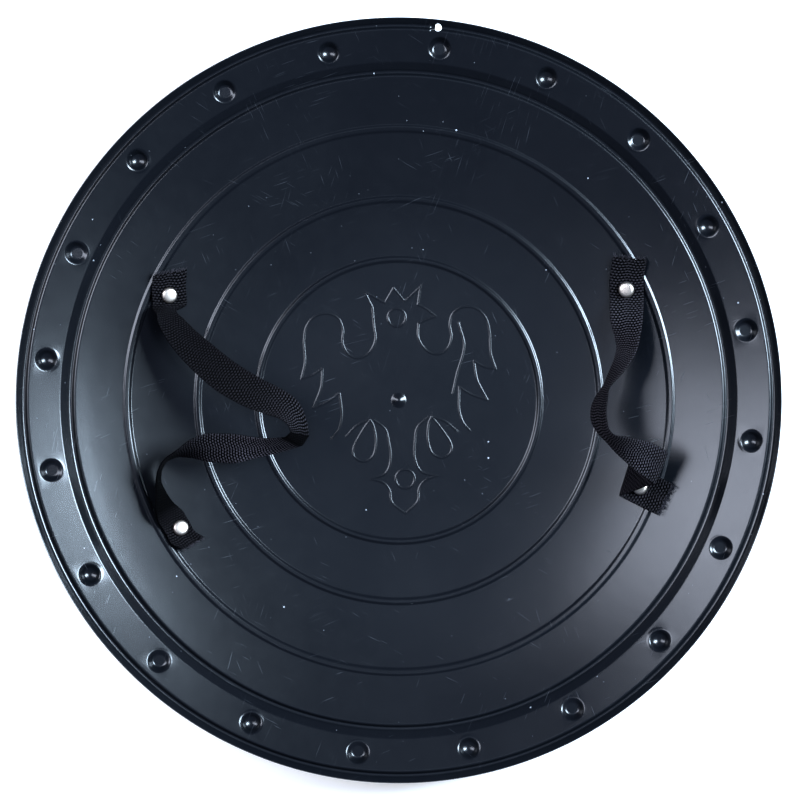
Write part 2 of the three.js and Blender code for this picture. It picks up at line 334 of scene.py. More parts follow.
def relief_height(x, y):
    """How far the rings, the nub and the eagle's lines stand up."""
    radius = np.hypot(x, y)
    height = NUB_HEIGHT * bump(radius, NUB_RADIUS)
    for ring, width in RINGS:
        flank = np.clip((width / 2 - np.abs(radius - ring)) / RIDGE_FLANK, 0, 1)
        height = height + RIDGE_HEIGHT * (0.5 - 0.5 * np.cos(math.pi * flank))
    inside = radius < EAGLE_DISC
    distance = stroke_distance(np.column_stack([x[inside], y[inside]]))
    height[inside] += LINE_HEIGHT * np.maximum(0, 1 - (distance / LINE_HALF_WIDTH) ** 2) ** 2
    return height


def back_height(x, y):
    return plain_height(x, y) + relief_height(x, y)


def surface_normal(height_at, x, y, step=0.06):
    slope_x = (height_at(x + step, y) - height_at(x - step, y)) / (2 * step)
    slope_y = (height_at(x, y + step) - height_at(x, y - step)) / (2 * step)
    return unit(np.column_stack([-slope_x, -slope_y, np.ones_like(slope_x)]))


class Plan:
    """The shell seen flat: a net of points and faces that becomes its back and its front."""

    def __init__(self):
        self.points = []
        self.faces = []

    def add(self, points):
        first = len(self.points)
        self.points.extend(map(tuple, points))
        return list(range(first, len(self.points)))

    def join(self, outer, inner):
        """Quads between two closed loops with the same number of points."""
        count = len(outer)
        for i in range(count):
            j = (i + 1) % count
            self.faces.append((outer[i], outer[j], inner[j], inner[i]))

    def fan(self, loop, middle):
        for i, a in enumerate(loop):
            self.faces.append((a, loop[(i + 1) % len(loop)], middle))


def shell_rows():
    """Radii of the rows of the net, closer together where the line bends."""
    runs = [(ring - width / 2 - 0.1, ring + width / 2 + 0.1, 11) for ring, width in RINGS]
    runs += [STEP_RUN, BAND_START_RUN, BOSS_RUN, HOLE_RUN]
    rows = [EAGLE_DISC, *SINGLE_ROWS, RIM_TOP]
    for run in runs:
        rows += np.linspace(*run).tolist()
    return sorted(rows)


def patch_loop(net, low, high, first, last):
    """The net's points round a patch of rows low to high and columns first to last, in order."""
    across = range(first, last)
    up = range(low, high)
    loop = [net[low][c % COLUMNS] for c in across] + [net[r][last % COLUMNS] for r in up]
    loop += [net[high][c % COLUMNS] for c in reversed(range(first + 1, last + 1))]
    return loop + [net[r][first % COLUMNS] for r in reversed(range(low + 1, high + 1))]


def circle(count, centre, start, radius):
    """A circle of count points that runs the same way as a patch's loop."""
    turn = start - np.arange(count) * 2 * math.pi / count
    return np.column_stack([centre[0] + radius * np.cos(turn), centre[1] + radius * np.sin(turn)])


def fill_boss(plan, loop, angle, start):
    """Rings of faces from a patch's loop to the middle of its boss."""
    centre = np.array([math.cos(angle), math.sin(angle)]) * BOSS_CIRCLE
    for radius in BOSS_RINGS:
        inner = plan.add(circle(len(loop), centre, start, radius))
        plan.join(loop, inner)
        loop = inner
    plan.fan(loop, plan.add([centre])[0])


def fill_hole(plan, loop, angle, start):
    """Rings of faces from a patch's loop to the edge of the hanging hole, which stays open."""
    edge = np.array([plan.points[i] for i in loop])
    centre = np.array([math.cos(angle), math.sin(angle)]) * HOLE_CIRCLE
    rim = circle(len(loop), centre, start, HOLE_RADIUS)
    for part in HOLE_RINGS:
        inner = plan.add(edge + (rim - edge) * part)
        plan.join(loop, inner)
        loop = inner


def shell_net():
    """The whole shell seen flat, with a patch for each boss and the hole, and the disc in its middle."""
    plan = Plan()
    rows = shell_rows()
    columns = np.radians(BOSS_START + np.arange(COLUMNS) * 360 / COLUMNS)
    net = [plan.add(np.column_stack([r * np.cos(columns), r * np.sin(columns)])) for r in rows]
    low, high = (rows.index(row) for row in BOSS_PATCH)
    first, last = BOSS_COLUMNS
    middles = range(0, COLUMNS, COLUMNS // BOSS_COUNT)
    patches = [(low, high, middle + first, middle + last) for middle in middles]
    hanging = int((HOLE_ANGLE - BOSS_START) * COLUMNS / 360)
    low, high = (rows.index(row) for row in HOLE_PATCH)
    first, last = HOLE_COLUMNS
    patches.append((low, high, hanging + first, hanging + last))
    covered = {(r, c % COLUMNS) for a, b, f, t in patches for r in range(a, b) for c in range(f, t)}
    for r in range(len(rows) - 1):
        for c in range(COLUMNS):
            if (r, c) not in covered:
                d = (c + 1) % COLUMNS
                plan.faces.append((net[r][c], net[r][d], net[r + 1][d], net[r + 1][c]))
    for number, (low, high, first, last) in enumerate(patches):
        loop = patch_loop(net, low, high, first, last)
        is_boss = number < BOSS_COUNT
        angle = math.radians(BOSS_START + 360 / BOSS_COUNT * number if is_boss else HOLE_ANGLE)
        start = angle + math.pi + (last - first) / len(loop) * math.pi
        fill = fill_boss if is_boss else fill_hole
        fill(plan, loop, angle, start)
    add_eagle_disc(plan, net[0])
    return plan


NUB_POINTS = [(0, 1), (0.9, 8), (1.8, 14), (2.7, 20), (3.5, 24), (4.2, 28), (4.9, 28)]
BESIDE_STROKE = (0, -0.45, 0.45, -1, 1)
DISC_PITCH = 3.2
DISC_ROWS, DISC_COLUMNS = 29, 26
NUB_CLEAR, EDGE_CLEAR, STROKE_CLEAR = 6, 1.2, 1.7
SAME_PLACE = 0.22


def add_eagle_disc(plan, loop):
    """Fills the loop with triangles that follow the eagle's lines and the nub."""
    edge = np.array([plan.points[i] for i in loop])
    wanted = [edge]
    for radius, count in NUB_POINTS:
        turn = np.arange(count) * 2 * math.pi / count
        wanted.append(np.column_stack([radius * np.cos(turn), radius * np.sin(turn)]))
    for stroke in STROKES:
        along = unit(np.gradient(stroke, axis=0))
        aside = np.column_stack([-along[:, 1], along[:, 0]])
        for offset in BESIDE_STROKE:
            wanted.append(stroke + aside * offset)
    grid = np.array(
        [
            (DISC_PITCH * (i + 0.5 * (j % 2)), DISC_PITCH * 0.866 * j)
            for i in range(-DISC_COLUMNS, DISC_COLUMNS + 1)
            for j in range(-DISC_ROWS, DISC_ROWS + 1)
        ]
    )
    away = np.hypot(grid[:, 0], grid[:, 1])
    grid = grid[(away > NUB_CLEAR) & (away < EAGLE_DISC - EDGE_CLEAR)]
    wanted.append(grid[stroke_distance(grid) > STROKE_CLEAR])
    kept, taken = [], set()
    for place in np.vstack(wanted).tolist():
        cell = (round(place[0] / SAME_PLACE), round(place[1] / SAME_PLACE))
        if len(kept) < len(edge) or cell not in taken:
            kept.append(Vector(place))
            taken.add(cell)
    points, _, faces, sources, _, _ = delaunay_2d_cdt(kept, [], [], 0, 1e-6)
    names = {}
    for i, (place, source) in enumerate(zip(points, sources)):
        number = source[0] if source else len(kept)
        names[i] = loop[number] if number < len(loop) else plan.add([place])[0]
    plan.faces.extend(tuple(names[i] for i in face) for face in faces)


def facing_up(plan):
    """The plan's places and faces, without unused points and with every face turned the same way."""
    points = np.array(plan.points)
    faces = []
    for face in plan.faces:
        x, y = points[list(face)].T
        area = (x * np.roll(y, -1) - np.roll(x, -1) * y).sum()
        faces.append(face if area > 0 else face[::-1])
    used = sorted({i for face in faces for i in face})
    number = {old: new for new, old in enumerate(used)}
    return points[used].T, [tuple(number[i] for i in face) for face in faces]


def build_shell(material):
    """The back and the front of the sheet from one net, joined by walls at the rim and in the hole."""
    (x, y), faces = facing_up(shell_net())
    normals = surface_normal(back_height, x, y)
    plain = surface_normal(plain_height, x, y)
    sheet = np.interp(np.hypot(x, y), [RIM_FOOT[1], RIM_TOP], [SHEET, EDGE_SHEET])[:, None]
    back = np.column_stack([x, y, back_height(x, y)])
    front = back - sheet * plain
    count = len(back)
    edges = {(a, b) for face in faces for a, b in zip(face, face[1:] + face[:1])}
    border = [(a, b) for a, b in edges if (b, a) not in edges]
    every = faces + [tuple(i + count for i in face[::-1]) for face in faces]
    walls = sorted((b, a, a + count, b + count) for a, b in border)
    both = np.vstack([back, front])
    both_normals = np.vstack([normals, -normals])
    corners = [tuple(both_normals[i]) for face in every for i in face]
    for a, b, c, d in walls:
        flat = unit(np.cross(both[b] - both[a], both[d] - both[a]))
        corners += [tuple(flat)] * 4
    trim(both, border)
    make_piece("shield_shell", both, every + walls, material, "shell", corners)


def trim(points, border):
    """The trimmed edge of the rim isn't quite even."""
    for i in sorted({i for edge in border for i in edge}):
        x, y = points[i, :2]
        if math.hypot(x, y) > RIM_TOP - 0.01:
            angle = math.atan2(y, x)
            wave = 0.5 + 0.25 * math.sin(13 * angle + 1) + 0.25 * math.sin(31 * angle)
            count = len(points) // 2
            points[[i, i + count], 2] -= TRIM_DIP * wave


# ---------------------------------------------------------------- the straps


def station(x, y, z, heading, dip, width=WEBBING_WIDTH):
    """A place on a strap's middle line, the way its first edge points from there, and its width."""
    h, d = math.radians(heading), math.radians(dip)
    return (x, y, z), (math.cos(d) * math.cos(h), math.cos(d) * math.sin(h), -math.sin(d)), width


def seated(x, y, heading, lift, roll=0.0, width=WEBBING_WIDTH):
    """A station that lies on the dish, lifted clear of it."""
    normal = dish_normal(x, y)
    h = math.radians(heading)
    across = np.array([math.cos(h), math.sin(h), 0])
    across = unit(across - normal * across.dot(normal))
    across = across * math.cos(math.radians(roll)) + normal * math.sin(math.radians(roll))
    at = np.array([x, y, dish_height(math.hypot(x, y))]) + normal * lift
    return tuple(at), tuple(across), width


def under_cap(rivet, roll, aside=0.0, width=WEBBING_WIDTH):
    """Where a rivet holds a strap, the strap stays straight from one side of the cap to the other."""
    x, y, heading = rivet
    c, s = math.cos(math.radians(heading)), math.sin(math.radians(heading))
    return [
        seated(x + t * s + aside * c, y - t * c + aside * s, heading, LIFT, roll, width)
        for t in (-CLAMPED, 0, CLAMPED)
    ]


ARM_RIVETS = [(-133.6, 61.2, 2), (-127, -74.3, 30)]
ARM_STATIONS = [
    seated(-133.3, 74.2, 8, 3.6, -3),
    *under_cap(ARM_RIVETS[0], -3),
    station(-134.2, 50.2, 22, 15, 58),
    station(-130.8, 44.6, 27, 18, 46),
    station(-124.2, 36.1, 33, 34, 38),
    station(-113.1, 25.3, 41, 48, 26),
    station(-98.9, 13.8, 50, 52, 19),
    station(-83.6, 4.8, 57, 57, 24),
    station(-71.1, -0.7, 62.5, 58, 34),
    station(-62, -5.6, 66.5, 44, 47),
    station(-57.3, -12.6, 68.5, 18, 60),
    station(-56.1, -18, 66.8, -8, 60),
    station(-55.9, -19, 66.4, -12, 60),
    station(-56.5, -19.8, 65.4, -14, 60),
    station(-59, -22.8, 61.3, -22, 58),
    station(-59.7, -23.3, 60.4, -24, 57),
    station(-61, -23.6, 59.9, -27, 57),
    station(-71, -25.6, 55.5, -48, 58),
    station(-83.1, -26.7, 51.5, -73, 50),
    station(-96.4, -27.5, 48, -83, 32),
    station(-109.2, -27.1, 45, -85, 36),
    station(-119.1, -28, 42, -88, 59),
    station(-127.5, -30.9, 39, -92, 80),
    station(-133.9, -34.6, 36, -60, 87),
    station(-137.3, -40.1, 32.5, -20, 88),
    station(-138.4, -47, 28.5, 5, 86),
    station(-137, -54.5, 24.5, 12, 76),
    station(-135.6, -61.8, 22.5, 26, 56, 18),
    *under_cap(ARM_RIVETS[1], -3, -1.7, 15.5),
    seated(-120, -83.3, 30, 2.6, -3, 14.5),
]

HAND_RIVETS = [(132.6, 64.4, 1), (140.4, -50.5, 63)]
HAND_STATIONS = [
    seated(134.6, 82.5, -3, 3.8, 3),
    *under_cap(HAND_RIVETS[0], 3),
    station(131.8, 49.5, 20.4, 5, -20),
    station(132, 37.1, 26.5, 4, -46),
    station(131, 29.2, 32.5, -12, -58),
    station(127.4, 21.8, 40.5, -34, -66),
    station(122.3, 14, 47, -40, -75),
    station(118.1, 7.7, 52.5, -26, -82),
    station(115, 1, 57, -5, -72),
    station(113.3, -5, 60.5, 0, -67),
    station(113.4, -11.5, 62.5, 5, -67),
    station(115.9, -17.7, 63.5, 20, -73),
    station(119.6, -21.5, 63.5, 42, -74),
    station(125.2, -24.7, 61.5, 58, -60),
    station(132.1, -28.5, 58, 64, -44),
    station(139.7, -32.5, 53, 68, -24),
    station(146.9, -36.9, 48, 68, -14),
    station(150, -39, 44, 68, -12),
    station(148.1, -39.2, 40, 68, -10),
    station(140.8, -42, 31, 70, -4),
    station(134.2, -44.5, 22.5, 72, 2),
    station(130.9, -45.6, 18, 72, 6),
    *under_cap(HAND_RIVETS[1], 0),
    seated(150.4, -55.4, 63, 3.6),
    seated(155, -57.6, 63, 4.6),
]

# The net of the webbing; how ragged a cut end is and how far in; the loops and the thin margin of its long
# edges; how its ribs slant; and how deeply a strap cups where it is squeezed narrower.
WEBBING_COLUMNS = 48
STEPS_PER_RIB = 4
FRAY = 0.7
FRAY_REACH = 3
SELVEDGE_LOOP = 0.28
SELVEDGE_CREST = 0.35
MARGIN = 0.8
MARGIN_SINK = 0.25
CHEVRON_WIDTH = 5
CHEVRON_SLANT = 0.9
CUPPING = 6.0

# How much dust and painted light the webbing's crests get along its length, as (distance, amount): its shaded
# folds get the least, which paints them dark as shade.
ARM_DUST_AND_LIGHT = [
    (0, 0.6), (28, 0.34), (60, 0.36), (88, 0.42), (105, 0.46), (122, 0.72), (134, 0.9), (143, 0.85),
    (147.5, 0.2), (156, 0.2), (159, 2.4), (178, 4.0), (194, 1.7), (207, 1.3), (232, 0.4), (247, 0.03),
    (268, 0.02), (274, 0.3), (282, 0.42), (296, 0.4),
]
HAND_DUST_AND_LIGHT = [
    (0, 0.65), (20, 0.75), (36, 1.5), (60, 2.3), (85, 1.7), (105, 1.4), (122, 1.6), (140, 1.8),
    (153, 1.6), (160, 1.1), (172, 0.9), (190, 0.8), (205, 0.75), (218, 0.75),
]


def strap_frames(stations):
    """Distance along, middle line, directions and width at even steps along a strap."""
    places, leans, widths = zip(*stations)
    weights = np.linspace(0, len(stations) - 1, 60 * len(stations))
    middle = smooth_through(places, weights)
    across = smooth_through(leans, weights)
    width = np.interp(weights, np.arange(len(stations)), widths)
    along = np.concatenate([[0], np.cumsum(np.linalg.norm(np.diff(middle, axis=0), axis=1))])
    steps = round(along[-1] / RIB_PITCH * STEPS_PER_RIB)
    even = np.linspace(0, along[-1], steps + 1)

    def at(values):
        return np.column_stack([np.interp(even, along, values[:, k]) for k in range(3)])

    middle, across, width = at(middle), unit(at(across)), np.interp(even, along, width)
    forward = unit(np.gradient(middle, axis=0))
    face = unit(np.cross(forward, across))
    return even, middle, forward, across, face, width


def weave_height(along, aside, phase):
    """Crest of the weave, 0 to 1: ribs across the strap, crossed by yarns that go over and under."""
    rib = 0.5 + 0.5 * np.cos(2 * math.pi * along / RIB_PITCH + phase)
    over = 0.5 + 0.5 * np.cos(math.pi * along / RIB_PITCH) * np.cos(math.pi * aside / YARN_PITCH)
    return 0.5 * rib + 0.5 * over


def build_strap(name, stations, dust_and_light_along, material, node):
    """A strap whose weave is mesh on both faces, with attributes for the crests, the yarns and the dust and
    painted light and shade along it.
    """
    along, middle, forward, across, face, width = strap_frames(stations)
    half = WEBBING_WIDTH / 2
    narrow = (width / WEBBING_WIDTH)[:, None, None]
    aside = np.linspace(half, -half, WEBBING_COLUMNS + 1)
    s, t = np.meshgrid(along, aside, indexing="ij")
    chevron = CHEVRON_SLANT * np.abs(np.mod(t / CHEVRON_WIDTH, 2) - 1) * math.pi
    flat = np.minimum(1, (half - np.abs(t)) / MARGIN)
    from_end = np.minimum(s, along[-1] - s)
    ragged = RANDOM.uniform(-1, 1, len(aside)) * FRAY, RANDOM.uniform(-1, 1, len(aside)) * FRAY
    pull = np.where(s < along[-1] / 2, -ragged[0], ragged[1]) * np.maximum(0, 1 - from_end / FRAY_REACH)
    sides, crests = [], []
    for way, phase in ((1, 0), (-1, math.pi)):
        crest = weave_height(s, t, chevron + phase)
        level = way * (WEBBING_THICKNESS / 2 - RIB_HEIGHT * (1 - crest) - MARGIN_SINK * (1 - flat))
        level = level + CUPPING * (1 - narrow[..., 0]) * (t / half) ** 2
        sides.append(
            middle[:, None]
            + across[:, None] * t[..., None] * narrow
            + face[:, None] * level[..., None]
            + forward[:, None] * pull[..., None]
        )
        crests.append(crest)
    loops = SELVEDGE_LOOP * (0.5 + 0.5 * np.cos(2 * math.pi * along / RIB_PITCH))[:, None]
    cup = face * CUPPING * (1 - narrow[:, 0])
    edges = [middle + across * way * (half * narrow[:, 0] + loops) + cup for way in (1, -1)]
    section = np.concatenate(
        [sides[0], edges[1][:, None], sides[1][:, ::-1], edges[0][:, None]], axis=1
    )
    edge_crest = np.full((len(along), 1), SELVEDGE_CREST)
    crest = np.concatenate([crests[0], edge_crest, crests[1][:, ::-1], edge_crest], axis=1)
    rows, count = section.shape[:2]
    faces = []
    for i in range(rows - 1):
        for k in range(count):
            j = (k + 1) % count
            a, b = i * count, (i + 1) * count
            faces.append((a + k, b + k, b + j, a + j))
    faces += end_caps(rows, count)
    piece = make_piece(name, section.reshape(-1, 3), faces, material, node)
    where = np.zeros((rows, count, 3))
    where[..., 0] = np.concatenate([aside, [-half], aside[::-1], [half]])
    where[..., 1] = along[:, None]
    give(piece, "crest", "FLOAT", "value", crest)
    give(piece, "strand", "FLOAT_VECTOR", "vector", where * MM)
    # Dust and painted light and shade along the strap, least on its shaded folds.
    give(piece, "dust_and_light", "FLOAT", "value", np.repeat(np.interp(along, *zip(*dust_and_light_along)), count))


def give(piece, name, kind, field, values):
    """Gives a piece's points an attribute for its material to read."""
    piece.data.attributes.new(name, kind, "POINT").data.foreach_set(field, values.reshape(-1))


def end_caps(rows, count):
    """Quads that close the two ends of a strap, joining its face to its back column by column."""
    caps = []
    top = WEBBING_COLUMNS + 1
    last = (rows - 1) * count
    for k in range(WEBBING_COLUMNS):
        below = 2 * top - k
        caps.append((k, k + 1, below - 1, below))
        caps.append((last + k, last + below, last + below - 1, last + k + 1))
    caps.append((WEBBING_COLUMNS, top, top + 1))
    caps.append((last + WEBBING_COLUMNS, last + top + 1, last + top))
    caps.append((0, 2 * top, count - 1))
    caps.append((last, last + count - 1, last + 2 * top))
    return caps


# Loose yarn at a cut end; lengths and radii run from the least to the most, and it is longer at the corners.
FIBRES_PER_END = 70
FIBRE_SIDES = 5
FIBRE_JOINTS = 5
FIBRE_LENGTHS = (0.8, 2.6)
FIBRE_RADII = (0.07, 0.12)
FIBRE_ROOT = -0.4
FIBRE_TIP = 0.4
CORNER_START = 8
CORNER_LENGTHENS = 1.3


def build_end_fibres(name, stations, material):
    """Loose ends of yarn at both cut ends of a strap."""
    _, middle, forward, across, face, width = strap_frames(stations)
    points, faces = [], []
    for end, way in ((0, -1), (-1, 1)):
        for _ in range(FIBRES_PER_END):
            aside = RANDOM.uniform(-1, 1) * (width[end] / 2 - 0.3)
            length = RANDOM.uniform(*FIBRE_LENGTHS) * (CORNER_LENGTHENS if abs(aside) > CORNER_START else 1)
            start = middle[end] + across[end] * aside + face[end] * RANDOM.uniform(-0.3, 0.4)
            lean = across[end] * RANDOM.normal(0, 0.35) + face[end] * RANDOM.normal(0.1, 0.2)
            curl = across[end] * RANDOM.normal(0, 0.5) + face[end] * RANDOM.normal(0, 0.2)
            t = np.linspace(FIBRE_ROOT, 1, FIBRE_JOINTS)[:, None]
            line = start + (forward[end] * way + lean) * t * length + curl * t**2 * length * 0.5
            add_fibre(points, faces, line, RANDOM.uniform(*FIBRE_RADII))
    make_piece(name, points, faces, material)


def add_fibre(points, faces, line, radius):
    """A thin round yarn along a line, closed at both ends and finer at its tip."""
    forward = unit(np.gradient(line, axis=0))
    aside = unit(np.cross(forward, (0.3, 0.2, 1)))
    up = np.cross(forward, aside)
    first = len(points)
    for i, place in enumerate(line):
        thin = radius * (1 if i < len(line) - 1 else FIBRE_TIP)
        for k in range(FIBRE_SIDES):
            turn = 2 * math.pi * k / FIBRE_SIDES
            points.append(place + (aside[i] * math.cos(turn) + up[i] * math.sin(turn)) * thin)
    for i in range(len(line) - 1):
        for k in range(FIBRE_SIDES):
            j = (k + 1) % FIBRE_SIDES
            a, b = first + i * FIBRE_SIDES, first + (i + 1) * FIBRE_SIDES
            faces.append((a + k, a + j, b + j, b + k))
    faces.append(tuple(first + k for k in reversed(range(FIBRE_SIDES))))
    last = first + (len(line) - 1) * FIBRE_SIDES
    faces.append(tuple(last + k for k in range(FIBRE_SIDES)))


# ---------------------------------------------------------------- the rivets

RIVET_SIDES = 48
RIVET_CREASE = math.radians(50)
CAP_CURVE = [
    (1.0, 0.0), (1.0, 0.2), (0.99, 0.36), (0.96, 0.52), (0.915, 0.66), (0.85, 0.78),
    (0.77, 0.865), (0.67, 0.92), (0.54, 0.96), (0.38, 0.985), (0.2, 0.997), (0.0, 1.0),
]


def cap_line(base, way):
    """Half of a cap's outline from its foot to the middle of its dome, as radius and height."""
    return [(CAP_RADIUS * r, base + way * CAP_HEIGHT * h) for r, h in CAP_CURVE]


def build_rivet(name, rivet, material, node):
    """A turned rivet: a cap on each side of the shell and strap, and the shank between them."""
    x, y = rivet[:2]
    top = LIFT + WEBBING_THICKNESS / 2 + GAP
    bottom = -SHEET - GAP
    line = cap_line(bottom, -1)[::-1] + [(SHANK_RADIUS, bottom), (SHANK_RADIUS, top)]
    line += cap_line(top, 1)
    normal = dish_normal(x, y)
    side = unit(np.cross((0, 1, 0), normal))
    other = np.cross(normal, side)
    foot = np.array([x, y, dish_height(math.hypot(x, y))])
    points = [foot + normal * line[0][1]]
    for radius, height in line[1:-1]:
        for k in range(RIVET_SIDES):
            turn = 2 * math.pi * k / RIVET_SIDES
            ring = side * math.cos(turn) + other * math.sin(turn)
            points.append(foot + normal * height + ring * radius)
    points.append(foot + normal * line[-1][1])
    faces = []
    rings = len(line) - 2
    for k in range(RIVET_SIDES):
        j = (k + 1) % RIVET_SIDES
        faces.append((0, 1 + j, 1 + k))
        for i in range(rings - 1):
            a, b = 1 + i * RIVET_SIDES, 1 + (i + 1) * RIVET_SIDES
            faces.append((a + k, a + j, b + j, b + k))
        last = 1 + (rings - 1) * RIVET_SIDES
        faces.append((last + k, last + j, len(points) - 1))
    piece = make_piece(name, points, faces, material, node)
    crease_sharp_edges(piece, RIVET_CREASE)


def crease_sharp_edges(piece, angle):
    """Marks edges that turn more than angle as sharp, so that they show as corners."""
    mesh = piece.data
    normals = {}
    for polygon in mesh.polygons:
        for key in polygon.edge_keys:
            normals.setdefault(key, []).append(polygon.normal.copy())
    for edge in mesh.edges:
        pair = normals[tuple(sorted(edge.vertices))]
        if len(pair) == 2 and pair[0].angle(pair[1], 0) > angle:
            edge.use_edge_sharp = True


# ---------------------------------------------------------------- materials

# Colours of the finishes, and how rough each is from its smoothest to its dullest places.
PLASTIC_DEEP = (0.0016, 0.0021, 0.0032, 1)
PLASTIC_PALE = (0.0026, 0.0032, 0.0045, 1)
PLASTIC_ROUGHNESS = (0.20, 0.25)
SCRATCH_GREY = (0.10, 0.11, 0.13, 1)
SPECK_WHITE = (0.40, 0.43, 0.47, 1)
LINT_GREY = (0.25, 0.27, 0.30, 1)
YARN_BLACK = (0.0002, 0.0002, 0.0003, 1)
# Pale dust and painted sheen for the crests of the weave.
YARN_DUST_AND_SHEEN = (0.101, 0.091, 0.107, 1)
YARN_SPECK = (0.3, 0.3, 0.32, 1)
YARN_ROUGHNESS = (0.62, 0.95)
NICKEL_DULL = (0.53, 0.46, 0.39, 1)
NICKEL_BRIGHT = (0.64, 0.55, 0.47, 1)
NICKEL_ROUGHNESS = (0.36, 0.44)

# The marks on them, and how strongly each shows.
SCRATCHES = {"Length": 60.0, "Fineness": 1500.0}
SPECKS = {"Spacing": 210.0, "Size": 0.085, "Rarity": 0.976}
LINT = {"Spacing": 390.0, "Size": 0.095, "Rarity": 0.975}
YARN_SPECKS = {"Spacing": 420.0, "Size": 0.11, "Rarity": 0.992}
SCRATCH_SHOWS = 0.24
SPECK_SHOWS = 0.85
LINT_SHOWS = 0.4
YARN_SPECK_SHOWS = 0.3
# How strongly the crests are painted pale, with dust and painted sheen.
CREST_DUST_AND_SHEEN_SHOWS = 0.36


def effect(name, inputs, outputs):
    """A new shader node group with inputs of (name, kind, default) and outputs of (name, kind)."""
    group = bpy.data.node_groups.new(name, "ShaderNodeTree")
    for label, kind, value in inputs:
        socket = group.interface.new_socket(label, in_out="INPUT", socket_type=kind)
        if value is not None:
            socket.default_value = value
    for label, kind in outputs:
        group.interface.new_socket(label, in_out="OUTPUT", socket_type=kind)
    return group, Wiring(group)


class Wiring:
    """Adds nodes to a tree and joins them."""

    def __init__(self, tree):
        self.tree = tree

    def node(self, kind, values=None, **settings):
        node = self.tree.nodes.new(kind)
        for key, value in settings.items():
            setattr(node, key, value)
        for key, value in (values or {}).items():
            self.feed(node.inputs[key], value)
        return node

    def feed(self, socket, value):
        if isinstance(value, bpy.types.NodeSocket):
            self.tree.links.new(value, socket)
        else:
            socket.default_value = value

    def math(self, operation, a, b=0.5, clamp=False):
        return self.node("ShaderNodeMath", {0: a, 1: b}, operation=operation, use_clamp=clamp).outputs[0]

    def spread(self, value, low, high, to_low=0.0, to_high=1.0):
        """Value taken from low..high to to_low..to_high, held at both ends."""
        values = {"Value": value, "From Min": low, "From Max": high, "To Min": to_low, "To Max": to_high}
        return self.node("ShaderNodeMapRange", values).outputs["Result"]

    def blend(self, amount, first, second):
        node = self.node("ShaderNodeMix", {"Factor": amount}, data_type="RGBA")
        self.feed(node.inputs[6], first)
        self.feed(node.inputs[7], second)
        return node.outputs[2]


FLOAT, VECTOR = "NodeSocketFloat", "NodeSocketVector"


def make_scratches():
    """Hair-fine scratches in four directions, a little bent, gathered in patches."""
    group, w = effect(
        "fine scratches",
        [("Place", VECTOR, None), ("Length", FLOAT, 60.0), ("Fineness", FLOAT, 1500.0)],
        [("Mask", FLOAT)],
    )
    inside = w.node("NodeGroupInput")
    waves = w.node("ShaderNodeTexNoise", {"Vector": inside.outputs["Place"], "Scale": 14.0, "Detail": 1.0})
    bent = w.node(
        "ShaderNodeVectorMath",
        {0: waves.outputs["Color"], 1: (0.012, 0.012, 0.0), 2: inside.outputs["Place"]},
        operation="MULTIPLY_ADD",
    )
    total = None
    for turn, shift in ((0.5, 0.0), (1.2, 3.1), (1.9, 7.7), (2.8, 12.3)):
        turned = w.node(
            "ShaderNodeMapping",
            {"Vector": bent.outputs[0], "Rotation": (0, 0, turn), "Location": (shift, 0, 0)},
        )
        split = w.node("ShaderNodeSeparateXYZ", {0: turned.outputs[0]})
        long = w.math("MULTIPLY", split.outputs[0], inside.outputs["Length"])
        fine = w.math("MULTIPLY", split.outputs[1], inside.outputs["Fineness"])
        place = w.node("ShaderNodeCombineXYZ", {0: long, 1: fine, 2: shift})
        streak = w.node(
            "ShaderNodeTexNoise", {"Vector": place.outputs[0], "Scale": 1.0, "Detail": 1.0}
        )
        line = w.spread(streak.outputs[0], 0.70, 0.80)
        patch = w.node(
            "ShaderNodeTexNoise", {"Vector": turned.outputs[0], "Scale": 21.0, "Detail": 2.0}
        )
        some = w.math("MULTIPLY", line, w.spread(patch.outputs[0], 0.52, 0.68))
        total = some if total is None else w.math("MAXIMUM", total, some)
    w.node("NodeGroupOutput", {"Mask": total})
    return group


def make_dust():
    """Specks of dust, each in its own place, as a mask."""
    group, w = effect(
        "dust",
        [("Place", VECTOR, None), ("Spacing", FLOAT, 240.0), ("Size", FLOAT, 0.07), ("Rarity", FLOAT, 0.985)],
        [("Mask", FLOAT)],
    )
    inside = w.node("NodeGroupInput")
    cells = w.node(
        "ShaderNodeTexVoronoi",
        {"Vector": inside.outputs["Place"], "Scale": inside.outputs["Spacing"]},
    )
    chance = w.node("ShaderNodeSeparateColor", {0: cells.outputs["Color"]})
    size = w.math("MULTIPLY", inside.outputs["Size"], w.math("ADD", chance.outputs[1], 0.4))
    near = w.math("LESS_THAN", cells.outputs["Distance"], size)
    picked = w.math("GREATER_THAN", chance.outputs[0], inside.outputs["Rarity"])
    w.node("NodeGroupOutput", {"Mask": w.math("MULTIPLY", near, picked)})
    return group


def make_mottle():
    """Slow unevenness from a coarse and a fine noise, -1 to 1."""
    group, w = effect("mottle", [("Place", VECTOR, None), ("Scale", FLOAT, 20.0)], [("Value", FLOAT)])
    inside = w.node("NodeGroupInput")
    coarse = w.node(
        "ShaderNodeTexNoise",
        {"Vector": inside.outputs["Place"], "Scale": inside.outputs["Scale"], "Detail": 3.0},
    )
    fine = w.node(
        "ShaderNodeTexNoise",
        {
            "Vector": inside.outputs["Place"],
            "Scale": w.math("MULTIPLY", inside.outputs["Scale"], 7.0),
            "Detail": 2.0,
        },
    )
    both = w.math("ADD", w.math("MULTIPLY", coarse.outputs[0], 1.4), w.math("MULTIPLY", fine.outputs[0], 0.6))
    w.node("NodeGroupOutput", {"Value": w.math("SUBTRACT", both, 1.0)})
    return group


def new_material(name):
    material = bpy.data.materials.new(name)
    material.use_nodes = True
    w = Wiring(material.node_tree)
    shader = material.node_tree.nodes["Principled BSDF"]
    return material, w, shader


def use_effect(w, group, values):
    return w.node("ShaderNodeGroup", node_tree=group, values=values).outputs


